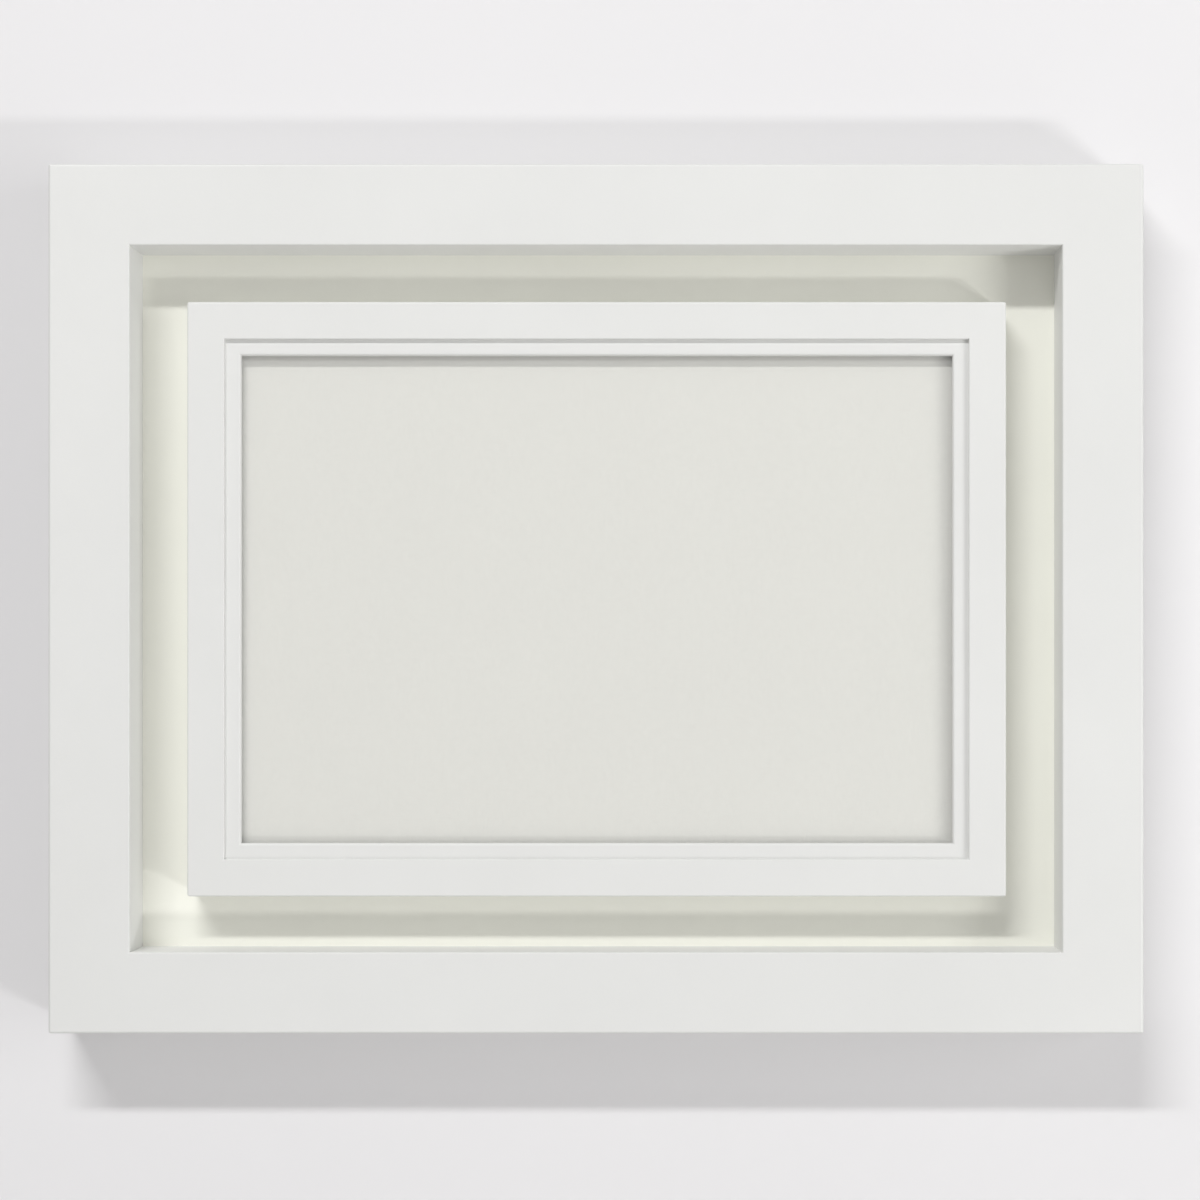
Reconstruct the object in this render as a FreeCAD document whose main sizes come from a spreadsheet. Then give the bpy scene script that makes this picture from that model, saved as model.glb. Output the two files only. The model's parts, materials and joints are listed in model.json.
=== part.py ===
# Shadow box: an open-fronted landscape tray frame with a smaller stepped picture frame
# floating in it on the back panel, and the hardware that closes and hangs it.
# Millimetres. +X right, +Y to the back, +Z up. X = 0 is the middle, Z = 0 the underside,
# and Y = 0 is halfway between the front face and the back of the wall bumpers.

import FreeCAD, Part
import math
import os
import Sketcher

DIMENSIONS = (
    # outer tray frame
    ("frame_width", 370.0),
    ("frame_height", 293.8),
    ("rail_face", 27.5),
    ("tray_depth", 20.0),
    ("outer_arris", 1.0),
    ("sight_arris", 0.5),
    ("corner_round", 1.2),
    ("cut_margin", 5.0),
    # back panel, let into a rebate behind the rails
    ("panel_rebate", 8.0),
    ("panel_thick", 4.0),
    ("panel_gap", 0.5),
    # inner picture frame
    ("float_gap", 18.4),
    ("inner_face", 18.0),
    ("inner_depth", 15.0),
    ("inner_flat", 12.6),
    ("inner_step", 1.5),
    ("inner_lip", 2.1),
    ("inner_rebate", 6.0),
    ("inner_arris", 0.6),
    ("inner_corner", 1.0),
    ("step_arris", 0.3),
    ("lip_arris", 0.8),
    # what the inner frame holds
    ("glass_thick", 2.0),
    ("board_thick", 1.5),
    ("backing_thick", 3.0),
    ("pane_gap", 0.1),
    ("tab_width", 8.0),
    ("tab_thick", 0.5),
    ("tab_cover", 8.0),
    ("tab_bite", 4.0),
    # corner nails
    ("nail_leg", 6.0),
    ("nail_thick", 0.6),
    ("nail_deep", 8.0),
    ("nail_near", 6.0),
    ("nail_far", 13.0),
    # screws
    ("shank_width", 3.0),
    ("thread_gap", 0.02),
    ("screw_bite", 9.0),
    ("screw_tip", 2.0),
    ("csk_head", 6.0),
    ("csk_gap", 0.1),
    ("shank_gap", 0.2),
    ("pan_head", 6.4),
    ("pan_high", 1.6),
    ("pan_round", 0.7),
    ("recess_wide", 0.9),
    ("recess_long", 3.6),
    ("recess_deep", 1.0),
    ("frame_screw_inset", 60.0),
    # turn buttons
    ("button_length", 20.0),
    ("button_width", 8.0),
    ("button_thick", 1.2),
    ("button_inset", 6.0),
    ("button_lift", 0.1),
    ("pivot_gap", 0.08),
    ("button_spread", 92.5),
    # D-ring hangers
    ("strap_width", 9.0),
    ("strap_thick", 1.0),
    ("strap_tail", 22.5),
    ("strap_round", 3.0),
    ("strap_up", 55.0),
    ("roll_end", -100.0),
    ("strap_hole_one", 6.5),
    ("strap_hole_two", 18.5),
    ("ring_wire", 2.2),
    ("ring_half", 7.0),
    ("ring_leg", 5.0),
    ("ring_corner", 2.0),
    ("ring_rest", 3.0),
    # wall bumpers
    ("bumper_radius", 5.0),
    ("bumper_thick", 5.0),
    ("bumper_round", 1.0),
)

doc = FreeCAD.newDocument("shadow_box")
sheet = doc.addObject("Spreadsheet::Sheet", "Size")
for row, (alias, value) in enumerate(DIMENSIONS, start=1):
    sheet.set(f"A{row}", alias)
    sheet.set(f"B{row}", str(value))
    sheet.setAlias(f"B{row}", alias)
doc.recompute()

# Places that follow from the sizes, as expressions on the sheet.
FRONT = "(-(Size.tray_depth + Size.panel_thick + Size.bumper_thick) / 2)"
SHOULDER = f"({FRONT} + Size.tray_depth)"
REAR = f"({SHOULDER} + Size.panel_thick)"
MIDDLE = "(Size.frame_height / 2)"
HALF_WIDTH = "(Size.frame_width / 2)"
HALF_HEIGHT = "(Size.frame_height / 2)"

INNER_FRONT = f"({SHOULDER} - Size.inner_depth)"
LIP_FRONT = f"({INNER_FRONT} + Size.inner_step)"
GLASS_FRONT = f"({LIP_FRONT} + Size.inner_lip)"
BOARD_FRONT = f"({GLASS_FRONT} + Size.glass_thick)"
BACKING_FRONT = f"({BOARD_FRONT} + Size.board_thick)"
BACKING_REAR = f"({BACKING_FRONT} + Size.backing_thick)"
INNER_INSET = "(Size.rail_face + Size.float_gap)"
INNER_HALF_WIDTH = f"({HALF_WIDTH} - {INNER_INSET})"
INNER_HALF_HEIGHT = f"({HALF_HEIGHT} - {INNER_INSET})"
PANE_INSET = "(Size.inner_face - Size.inner_rebate + Size.pane_gap)"

# The solid wood behind the rebates, where nails, screws and hangers go.
OUTER_BACK = "(Size.rail_face - Size.panel_rebate)"
INNER_BACK = "(Size.inner_face - Size.inner_rebate)"
BUTTON_DROP = f"({OUTER_BACK} - Size.button_inset)"
PILOT = "(Size.shank_width + 2 * Size.thread_gap)"

EYE_BORE = "(Size.ring_wire / 2 + Size.pivot_gap)"
EYE_OUT = f"({EYE_BORE} + Size.strap_thick)"

# Rails in the order top, right, bottom, left: each is the top rail turned about Y.
SIDES = (("top", 0), ("right", 90), ("bottom", 180), ("left", 270))
CORNERS = ((1, 1), (-1, 1), (-1, -1), (1, -1))


def value_of(expression):
    return float(sheet.evalExpression(expression))


def origin_plane(body, role):
    return [item for item in body.Origin.OriginFeatures if item.Role == role][0]


def new_sketch(body, name, role, offset="0"):
    """A sketch on one of the body's own origin planes, moved along the plane's normal."""
    sketch = body.newObject("Sketcher::SketchObject", name)
    sketch.AttachmentSupport = [(origin_plane(body, role), "")]
    sketch.MapMode = "FlatFace"
    sketch.setExpression("AttachmentOffset.Base.z", offset)
    return sketch


def hold(sketch, kind, expression, index, vertex):
    """Tie one coordinate of a vertex to an expression."""
    size = value_of(expression)
    number = sketch.addConstraint(Sketcher.Constraint(kind, -1, 1, index, vertex, size))
    sketch.setExpression(f"Constraints[{number}]", expression)


def arc_centre(start, end, radius, turn):
    """The centre of the arc from start to end; turn is 1 anticlockwise, -1 clockwise."""
    chord = end - start
    rise = math.sqrt(max(radius ** 2 - chord.Length ** 2 / 4, 0))
    across = FreeCAD.Vector(-chord.y, chord.x, 0).normalize()
    return (start + end) * 0.5 + across * rise * turn


def outline(sketch, corners):
    """A closed outline. A corner is (x, y), or (x, y, radius, turn) where an arc leaves it."""
    spots = [FreeCAD.Vector(value_of(corner[0]), value_of(corner[1]), 0) for corner in corners]
    ends = []
    for index, corner in enumerate(corners):
        start = spots[index]
        end = spots[(index + 1) % len(spots)]
        if len(corner) == 2:
            number = sketch.addGeometry(Part.LineSegment(start, end), False)
            ends.append((number, 1, 2))
            continue
        radius = value_of(corner[2])
        turn = corner[3]
        centre = arc_centre(start, end, radius, turn)
        first, last = (start, end) if turn > 0 else (end, start)
        angles = [math.atan2(spot.y - centre.y, spot.x - centre.x) for spot in (first, last)]
        if angles[1] <= angles[0]:
            angles[1] += 2 * math.pi
        circle = Part.Circle(centre, FreeCAD.Vector(0, 0, 1), radius)
        number = sketch.addGeometry(Part.ArcOfCircle(circle, angles[0], angles[1]), False)
        ends.append((number, 1, 2) if turn > 0 else (number, 2, 1))
        limit = sketch.addConstraint(Sketcher.Constraint("Radius", number, radius))
        sketch.setExpression(f"Constraints[{limit}]", corner[2])
    for index, corner in enumerate(corners):
        number, start_vertex, end_vertex = ends[index]
        follower, follower_start, _ = ends[(index + 1) % len(ends)]
        sketch.addConstraint(
            Sketcher.Constraint("Coincident", number, end_vertex, follower, follower_start))
        hold(sketch, "DistanceX", corner[0], number, start_vertex)
        hold(sketch, "DistanceY", corner[1], number, start_vertex)


def rectangle(sketch, left, right, low, high):
    outline(sketch, [(left, low), (right, low), (right, high), (left, high)])


def circle_at(sketch, across, up, diameter):
    centre = FreeCAD.Vector(value_of(across), value_of(up), 0)
    circle = Part.Circle(centre, FreeCAD.Vector(0, 0, 1), value_of(diameter) / 2)
    number = sketch.addGeometry(circle, False)
    hold(sketch, "DistanceX", across, number, 3)
    hold(sketch, "DistanceY", up, number, 3)
    limit = sketch.addConstraint(Sketcher.Constraint("Diameter", number, value_of(diameter)))
    sketch.setExpression(f"Constraints[{limit}]", diameter)


def new_body(name):
    body = doc.addObject("PartDesign::Body", name)
    body.Label = name
    return body


def place(body, across="0", back="0", up="0"):
    for axis, expression in (("x", across), ("y", back), ("z", up)):
        body.setExpression(f"Placement.Base.{axis}", expression)


def pad_forward(body, name, rear, thickness):
    """An empty sketch at depth rear, and the pad that takes it towards the front."""
    sketch = new_sketch(body, f"{name}_outline", "XZ_Plane", f"-{rear}")
    return sketch, lambda: finish(body, "PartDesign::Pad", name, sketch, thickness)


def cut_forward(body, name, rear, depth):
    """An empty sketch at depth rear, and the pocket that takes it towards the front."""
    sketch = new_sketch(body, f"{name}_outline", "XZ_Plane", f"-{rear}")
    return sketch, lambda: finish(body, "PartDesign::Pocket", name, sketch, depth)


def finish(body, kind, name, sketch, length):
    before = 0 if kind.endswith("Pad") else body.Shape.Volume
    feature = body.newObject(kind, name)
    feature.Profile = sketch
    feature.Reversed = kind.endswith("Pocket")
    feature.setExpression("Length", length)
    doc.recompute()
    changed = body.Shape.Volume - before
    if changed == 0 or (changed > 0) != (before == 0):
        raise RuntimeError(f"{name} changed nothing on {body.Label}")
    return feature


def turned(body, name, profile):
    """A solid of revolution about the body's own Y axis, from (y, radius) corners."""
    sketch = new_sketch(body, f"{name}_profile", "YZ_Plane")
    outline(sketch, profile)
    feature = body.newObject("PartDesign::Revolution", name)
    feature.Profile = sketch
    feature.ReferenceAxis = (sketch, ["H_Axis"])
    feature.Angle = 360
    doc.recompute()
    return feature


def group(name, members):
    """Like pieces kept as one node of separate solids."""
    compound = doc.addObject("Part::Compound", name)
    compound.Label = name
    compound.Links = members
    return compound


def mitred_rail(name, turn, half_length, half_across, face, corner, profile):
    """A rail lying along X with its outer edge up, mitred at both ends and turned about Y."""
    body = new_body(name)
    section = new_sketch(body, "section", "YZ_Plane")
    outline(section, profile)
    pad = body.newObject("PartDesign::Pad", "length")
    pad.Profile = section
    pad.Midplane = True
    pad.setExpression("Length", f"2 * {half_length}")
    doc.recompute()
    sketch, cut = cut_forward(body, "mitres", REAR, "Size.frame_width")
    foot = f"({face} + Size.cut_margin)"
    # how far in from the sharp corner the rounding crosses the mitre
    diagonal = f"({corner} * (1 - sqrt(0.5)))"
    for sign in (1, -1):
        def at(inset):
            return f"{sign} * ({half_length} - {inset})"
        outline(sketch, [
            (at(foot), f"{half_across} - {foot}"),
            (at(diagonal), f"{half_across} - {diagonal}", corner, sign),
            (at(corner), half_across),
            (at(corner), f"{half_across} + Size.cut_margin"),
            (at("-Size.cut_margin"), f"{half_across} + Size.cut_margin"),
            (at("-Size.cut_margin"), f"{half_across} - {foot}"),
        ])
    cut()
    body.Placement = FreeCAD.Placement(
        FreeCAD.Vector(0, 0, value_of(MIDDLE)), FreeCAD.Rotation(FreeCAD.Vector(0, 1, 0), turn))
    body.setExpression("Placement.Base.z", MIDDLE)
    return body


def nail_slots(body, half_length, half_across, rear, insets):
    """Half of each corner nail's slot: the leg that runs along this rail, at both ends."""
    sketch, cut = cut_forward(body, "nail_slots", rear, "Size.nail_deep")
    for inset in insets:
        middle = f"({half_across} - {inset})"
        for sign in (1, -1):
            rectangle(
                sketch,
                f"{sign} * ({half_length} - {inset} + Size.nail_thick / 2)",
                f"{sign} * ({half_length} - {inset} - Size.nail_leg)",
                f"{middle} - Size.nail_thick / 2",
                f"{middle} + Size.nail_thick / 2")
    cut()


def pilot_holes(body, rear, depth, spots):
    sketch, cut = cut_forward(body, "pilot_holes", rear, depth)
    for across, up in spots:
        circle_at(sketch, across, up, PILOT)
    cut()


def outer_profile(half_across):
    inner = f"({half_across} - Size.rail_face)"
    wall = f"({inner} + Size.panel_rebate)"
    return [
        (FRONT, f"{inner} + Size.sight_arris"),
        (FRONT, f"{half_across} - Size.outer_arris", "Size.outer_arris", -1),
        (f"{FRONT} + Size.outer_arris", half_across),
        (REAR, half_across),
        (REAR, wall),
        (SHOULDER, wall),
        (SHOULDER, inner),
        (f"{FRONT} + Size.sight_arris", inner, "Size.sight_arris", -1),
    ]


def inner_profile(half_across):
    inner = f"({half_across} - Size.inner_face)"
    wall = f"({inner} + Size.inner_rebate)"
    step = f"({half_across} - Size.inner_flat)"
    return [
        (INNER_FRONT, f"{step} + Size.step_arris"),
        (INNER_FRONT, f"{half_across} - Size.inner_arris", "Size.inner_arris", -1),
        (f"{INNER_FRONT} + Size.inner_arris", half_across),
        (SHOULDER, half_across),
        (SHOULDER, wall),
        (GLASS_FRONT, wall),
        (GLASS_FRONT, inner),
        (f"{LIP_FRONT} + Size.lip_arris", inner, "Size.lip_arris", -1),
        (LIP_FRONT, f"{inner} + Size.lip_arris"),
        (LIP_FRONT, step),
        (f"{INNER_FRONT} + Size.step_arris", step, "Size.step_arris", -1),
    ]


def button_spots(side):
    """Where the turn buttons pivot along a rail, from the rail's middle."""
    if side in ("top", "bottom"):
        return ["Size.button_spread", "-Size.button_spread"]
    return ["0"]


def outer_rails():
    rails = []
    for side, turn in SIDES:
        upright = side in ("left", "right")
        half_length = HALF_HEIGHT if upright else HALF_WIDTH
        half_across = HALF_WIDTH if upright else HALF_HEIGHT
        body = mitred_rail(
            f"outer_rail_{side}", turn, half_length, half_across, "Size.rail_face",
            "Size.corner_round", outer_profile(half_across))
        nail_slots(body, half_length, half_across, REAR, ("Size.nail_near", "Size.nail_far"))
        spots = [(along, f"{half_across} - {BUTTON_DROP}") for along in button_spots(side)]
        if upright:
            # turning the rail takes its +X down on the right side and up on the left
            sign = -1 if side == "right" else 1
            for hole in ("Size.strap_hole_one", "Size.strap_hole_two"):
                along = f"{sign} * (Size.strap_up - {hole})"
                spots.append((along, f"{half_across} - {OUTER_BACK} / 2"))
        pilot_holes(body, REAR, "(Size.screw_bite + Size.pivot_gap)", spots)
        rails.append(body)
    return rails


def inner_rails():
    rails = []
    for side, turn in SIDES:
        upright = side in ("left", "right")
        half_length = INNER_HALF_HEIGHT if upright else INNER_HALF_WIDTH
        half_across = INNER_HALF_WIDTH if upright else INNER_HALF_HEIGHT
        body = mitred_rail(
            f"inner_rail_{side}", turn, half_length, half_across, "Size.inner_face",
            "Size.inner_corner", inner_profile(half_across))
        nail_slots(body, half_length, half_across, SHOULDER, ("Size.nail_near",))
        wall = f"({half_across} - {INNER_BACK})"
        sketch, cut = cut_forward(
            body, "tab_slots", f"({BACKING_REAR} + Size.tab_thick)", "Size.tab_thick")
        for along in tab_spots(side):
            rectangle(
                sketch, f"{along} - Size.tab_width / 2", f"{along} + Size.tab_width / 2",
                f"{wall} - Size.tab_cover", f"{wall} + Size.tab_bite")
        cut()
        if not upright:
            across = f"({half_length} - Size.frame_screw_inset)"
            up = f"{half_across} - {INNER_BACK} / 2"
            pilot_holes(body, SHOULDER, "(Size.screw_bite + Size.pivot_gap)",
                        [(across, up), (f"-{across}", up)])
        rails.append(body)
    return rails


def tab_spots(side):
    """Where the flexible tabs sit along an inner rail, from the rail's middle."""
    if side in ("top", "bottom"):
        return [f"(-{INNER_HALF_WIDTH} / 2)", "0", f"({INNER_HALF_WIDTH} / 2)"]
    return [f"(-{INNER_HALF_HEIGHT} / 3)", f"({INNER_HALF_HEIGHT} / 3)"]


def corner_nails(name, half_width, half_height, rear, insets):
    """Bent steel nails across each mitre: one leg in each rail, pointing at the middle."""
    members = []
    for number, (side, level) in enumerate(CORNERS):
        for inset in insets:
            body = new_body(f"{name}_{number}_{len(members)}")
            sketch, pad = pad_forward(body, "legs", rear, "Size.nail_deep")
            outline(sketch, [
                (f"{side} * (Size.nail_thick / 2)", f"{level} * (Size.nail_thick / 2)"),
                (f"{side} * (-Size.nail_leg)", f"{level} * (Size.nail_thick / 2)"),
                (f"{side} * (-Size.nail_leg)", f"{level} * (-Size.nail_thick / 2)"),
                (f"{side} * (-Size.nail_thick / 2)", f"{level} * (-Size.nail_thick / 2)"),
                (f"{side} * (-Size.nail_thick / 2)", f"{level} * (-Size.nail_leg)"),
                (f"{side} * (Size.nail_thick / 2)", f"{level} * (-Size.nail_leg)"),
            ])
            pad()
            place(body, f"{side} * ({half_width} - {inset})",
                  up=f"{MIDDLE} + {level} * ({half_height} - {inset})")
            members.append(body)
    return group(name, members)


def plate(name, half_width, half_height, rear, thickness):
    body = new_body(name)
    sketch, pad = pad_forward(body, "sheet", rear, thickness)
    rectangle(sketch, f"-{half_width}", half_width, f"-{half_height}", half_height)
    pad()
    place(body, up=MIDDLE)
    return body


def frame_screw_spots():
    across = f"({INNER_HALF_WIDTH} - Size.frame_screw_inset)"
    up = f"({INNER_HALF_HEIGHT} - {INNER_BACK} / 2)"
    return [(f"{side} * {across}", f"{level} * {up}") for side, level in CORNERS]


def back_panel():
    inset = "(Size.rail_face - Size.panel_rebate + Size.panel_gap)"
    body = plate("back_panel", f"({HALF_WIDTH} - {inset})", f"({HALF_HEIGHT} - {inset})",
                 REAR, "Size.panel_thick")
    bore = "(Size.shank_width + 2 * Size.shank_gap)"
    sketch, cut = cut_forward(body, "screw_holes", REAR, "Size.panel_thick")
    for across, up in frame_screw_spots():
        circle_at(sketch, across, up, bore)
    cut()
    rims = []
    for number, edge in enumerate(body.Shape.Edges, start=1):
        middle = edge.BoundBox.Center
        if edge.Closed and abs(middle.y - value_of(REAR)) < 1e-6:
            rims.append(f"Edge{number}")
    drilled = body.Tip
    sink = body.newObject("PartDesign::Chamfer", "countersinks")
    sink.Base = (drilled, rims)
    sink.setExpression("Size", f"(Size.csk_head - {bore}) / 2 + Size.csk_gap")
    doc.recompute()
    return body


def inner_contents():
    half_width = f"({INNER_HALF_WIDTH} - {PANE_INSET})"
    half_height = f"({INNER_HALF_HEIGHT} - {PANE_INSET})"
    return [
        plate("inner_glass", half_width, half_height, BOARD_FRONT, "Size.glass_thick"),
        plate("display_board", half_width, half_height, BACKING_FRONT, "Size.board_thick"),
        plate("inner_backing_board", half_width, half_height, BACKING_REAR,
              "Size.backing_thick"),
    ]


def flex_tabs():
    """Thin steel tabs let into the rebate wall, holding the backing board in."""
    members = []
    for side, turn in SIDES:
        upright = side in ("left", "right")
        wall = f"({INNER_HALF_WIDTH if upright else INNER_HALF_HEIGHT} - {INNER_BACK})"
        for along in tab_spots(side):
            body = new_body(f"flex_tab_{len(members)}")
            sketch, pad = pad_forward(
                body, "tab", f"({BACKING_REAR} + Size.tab_thick)", "Size.tab_thick")
            rectangle(
                sketch, f"{along} - Size.tab_width / 2", f"{along} + Size.tab_width / 2",
                f"{wall} - Size.tab_cover", f"{wall} + Size.tab_bite")
            pad()
            body.Placement.Rotation = FreeCAD.Rotation(FreeCAD.Vector(0, 1, 0), turn)
            body.setExpression("Placement.Base.z", MIDDLE)
            members.append(body)
    return group("inner_flex_points", members)


def cross_recess(body, top):
    sketch, cut = cut_forward(body, "recess", top, "Size.recess_deep")
    wide = "(Size.recess_wide / 2)"
    long = "(Size.recess_long / 2)"
    outline(sketch, [
        (f"-{wide}", f"-{long}"), (wide, f"-{long}"), (wide, f"-{wide}"), (long, f"-{wide}"),
        (long, wide), (wide, wide), (wide, long), (f"-{wide}", long),
        (f"-{wide}", wide), (f"-{long}", wide), (f"-{long}", f"-{wide}"), (f"-{wide}", f"-{wide}"),
    ])
    cut()


def countersunk_screw(name, across, up):
    """Head flush with the panel's back; the shank goes on into the inner rail."""
    body = new_body(name)
    shank = "(Size.shank_width / 2)"
    head = "(Size.csk_head / 2)"
    length = "(Size.panel_thick + Size.screw_bite)"
    turned(body, "screw", [
        ("0", "0"),
        ("0", head),
        (f"-({head} - {shank})", shank),
        (f"-({length} - Size.screw_tip)", shank),
        (f"-{length}", "0"),
    ])
    cross_recess(body, "0")
    place(body, across, REAR, f"{MIDDLE} + {up}")
    return body


def pan_screw(name, across, up, under_head):
    """Head bearing under_head above the rails' back; the shank goes into the rail."""
    body = new_body(name)
    shank = "(Size.shank_width / 2)"
    head = "(Size.pan_head / 2)"
    length = f"(Size.screw_bite + {under_head})"
    turned(body, "screw", [
        ("Size.pan_high", "0"),
        ("Size.pan_high", f"{head} - Size.pan_round", "Size.pan_round", -1),
        ("Size.pan_high - Size.pan_round", head),
        ("0", head),
        ("0", shank),
        (f"-({length} - Size.screw_tip)", shank),
        (f"-{length}", "0"),
    ])
    cross_recess(body, "Size.pan_high")
    place(body, across, f"{REAR} + {under_head}", up)
    return body


def button_places():
    """Pivot (x, z) and turn about Y of each button, its arm pointing over the panel."""
    places = []
    for side, turn in SIDES:
        sign = 1 if side in ("top", "right") else -1
        for along in button_spots(side):
            if side in ("top", "bottom"):
                up = f"{MIDDLE} + {sign} * ({HALF_HEIGHT} - {BUTTON_DROP})"
                places.append((along, up, turn))
            else:
                places.append((f"{sign} * ({HALF_WIDTH} - {BUTTON_DROP})", MIDDLE, turn))
    return places


def turn_buttons():
    buttons = []
    screws = []
    for number, (across, up, turn) in enumerate(button_places(), start=1):
        body = new_body(f"turn_button_{number}")
        sketch, pad = pad_forward(body, "plate", "Size.button_thick", "Size.button_thick")
        half = "(Size.button_width / 2)"
        far = "(Size.button_length - Size.button_width)"
        outline(sketch, [
            (half, f"-{far}"),
            (half, "0", half, 1),
            ("0", half, half, 1),
            (f"-{half}", "0"),
            (f"-{half}", f"-{far}", half, 1),
            ("0", f"-({far} + {half})", half, 1),
        ])
        circle_at(sketch, "0", "0", "(Size.shank_width + 2 * Size.pivot_gap)")
        pad()
        body.Placement.Rotation = FreeCAD.Rotation(FreeCAD.Vector(0, 1, 0), turn)
        place(body, across, f"{REAR} + Size.button_lift", up)
        buttons.append(body)
        under_head = "(Size.button_thick + 2 * Size.button_lift)"
        screws.append(pan_screw(f"button_screw_{number}", across, up, under_head))
    return buttons + [group("turn_button_screws", screws)]


def hanger_strap(name, sign):
    """A steel strip on the rail's back, rolled forward over itself into an eye at the top."""
    body = new_body(name)
    sketch = new_sketch(body, "side_view", "YZ_Plane")
    cosine = "cos(Size.roll_end)"
    sine = "sin(Size.roll_end)"
    outline(sketch, [
        ("0", "-Size.strap_tail"),
        ("0", "0", EYE_OUT, -1),
        (EYE_OUT, EYE_OUT, EYE_OUT, -1),
        (f"2 * {EYE_OUT}", "0", EYE_OUT, -1),
        (f"{EYE_OUT} + {EYE_OUT} * {cosine}", f"{EYE_OUT} * {sine}"),
        (f"{EYE_OUT} + {EYE_BORE} * {cosine}", f"{EYE_BORE} * {sine}", EYE_BORE, 1),
        (f"{EYE_OUT} + {EYE_BORE}", "0", EYE_BORE, 1),
        (EYE_OUT, EYE_BORE, EYE_BORE, 1),
        ("Size.strap_thick", "0"),
        ("Size.strap_thick", "-Size.strap_tail"),
    ])
    pad = body.newObject("PartDesign::Pad", "width")
    pad.Profile = sketch
    pad.Midplane = True
    pad.setExpression("Length", "Size.strap_width")
    doc.recompute()
    holes, cut = cut_forward(body, "holes", "Size.strap_thick", "Size.strap_thick")
    for hole in ("Size.strap_hole_one", "Size.strap_hole_two"):
        circle_at(holes, "0", f"-{hole}", "(Size.shank_width + 2 * Size.shank_gap)")
    cut()
    tail = value_of("-Size.strap_tail")
    ends = []
    for number, edge in enumerate(body.Shape.Edges, start=1):
        box = edge.BoundBox
        if abs(box.ZMax - tail) < 1e-6 and box.XLength < 1e-6:
            ends.append(f"Edge{number}")
    drilled = body.Tip
    rounding = body.newObject("PartDesign::Fillet", "tail_round")
    rounding.Base = (drilled, ends)
    rounding.setExpression("Radius", "Size.strap_round")
    doc.recompute()
    place(body, hanger_across(sign), REAR, f"{MIDDLE} + Size.strap_up")
    return body


def hanger_across(sign):
    return f"{sign} * ({HALF_WIDTH} - {OUTER_BACK} / 2)"


def d_ring(name, sign):
    """A closed wire ring: a straight bar in the eye, two legs and a half-round foot."""
    body = new_body(name)
    spine = new_sketch(body, "centre_line", "XZ_Plane")
    straight = "(Size.ring_half - Size.ring_corner)"
    outline(spine, [
        ("0", "0"),
        (straight, "0", "Size.ring_corner", -1),
        ("Size.ring_half", "-Size.ring_corner"),
        ("Size.ring_half", "-Size.ring_leg", "Size.ring_half", -1),
        ("0", "-(Size.ring_leg + Size.ring_half)", "Size.ring_half", -1),
        ("-Size.ring_half", "-Size.ring_leg"),
        ("-Size.ring_half", "-Size.ring_corner", "Size.ring_corner", -1),
        (f"-{straight}", "0"),
    ])
    section = new_sketch(body, "wire", "YZ_Plane")
    circle_at(section, "0", "0", "Size.ring_wire")
    pipe = body.newObject("PartDesign::AdditivePipe", "ring")
    pipe.Profile = section
    pipe.Spine = spine
    doc.recompute()
    body.Placement.Rotation = FreeCAD.Rotation(
        FreeCAD.Vector(1, 0, 0), value_of("Size.ring_rest"))
    place(body, hanger_across(sign), f"{REAR} + {EYE_OUT}", f"{MIDDLE} + Size.strap_up")
    return body


def hangers():
    pieces = []
    screws = []
    for side, sign in (("left", -1), ("right", 1)):
        pieces.append(hanger_strap(f"hanger_strap_{side}", sign))
        pieces.append(d_ring(f"d_ring_{side}", sign))
        for hole in ("Size.strap_hole_one", "Size.strap_hole_two"):
            up = f"{MIDDLE} + Size.strap_up - {hole}"
            screws.append(pan_screw(f"strap_screw_{side}_{len(screws)}", hanger_across(sign), up,
                                    "Size.strap_thick"))
    return pieces + [group("hanger_screws", screws)]


def wall_bumpers():
    members = []
    inset = f"({OUTER_BACK} / 2)"
    for number, (side, level) in enumerate(CORNERS):
        body = new_body(f"bumper_{number}")
        turned(body, "pad", [
            ("Size.bumper_thick", "0"),
            ("Size.bumper_thick", "Size.bumper_radius - Size.bumper_round", "Size.bumper_round", -1),
            ("Size.bumper_thick - Size.bumper_round", "Size.bumper_radius"),
            ("0", "Size.bumper_radius"),
            ("0", "0"),
        ])
        place(body, f"{side} * ({HALF_WIDTH} - {inset})", REAR,
              f"{MIDDLE} + {level} * ({HALF_HEIGHT} - {inset})")
        members.append(body)
    return group("wall_bumpers", members)


def frame_screws():
    screws = [countersunk_screw(f"frame_screw_{number}", across, up)
              for number, (across, up) in enumerate(frame_screw_spots())]
    return group("inner_frame_screws", screws)


def check_document():
    for item in doc.Objects:
        if "Invalid" in item.State or "Error" in item.State:
            raise RuntimeError(f"{item.Label} failed: {item.State}")


def main():
    pieces = outer_rails()
    pieces.append(corner_nails(
        "outer_v_nails", HALF_WIDTH, HALF_HEIGHT, REAR, ("Size.nail_near", "Size.nail_far")))
    pieces.append(back_panel())
    pieces += inner_rails()
    pieces.append(corner_nails(
        "inner_v_nails", INNER_HALF_WIDTH, INNER_HALF_HEIGHT, SHOULDER, ("Size.nail_near",)))
    pieces += inner_contents()
    pieces.append(flex_tabs())
    pieces.append(frame_screws())
    pieces += turn_buttons()
    pieces += hangers()
    pieces.append(wall_bumpers())
    doc.recompute()
    check_document()
    for piece in pieces:
        if piece.Shape.isNull() or not piece.Shape.isValid():
            raise RuntimeError(f"{piece.Label} has no valid shape")
    os.makedirs("parts", exist_ok=True)
    for piece in pieces:
        piece.Shape.exportStep(f"parts/{piece.Label}.step")
        print(piece.Label, len(piece.Shape.Solids), round(piece.Shape.Volume, 2))


main()
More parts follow.
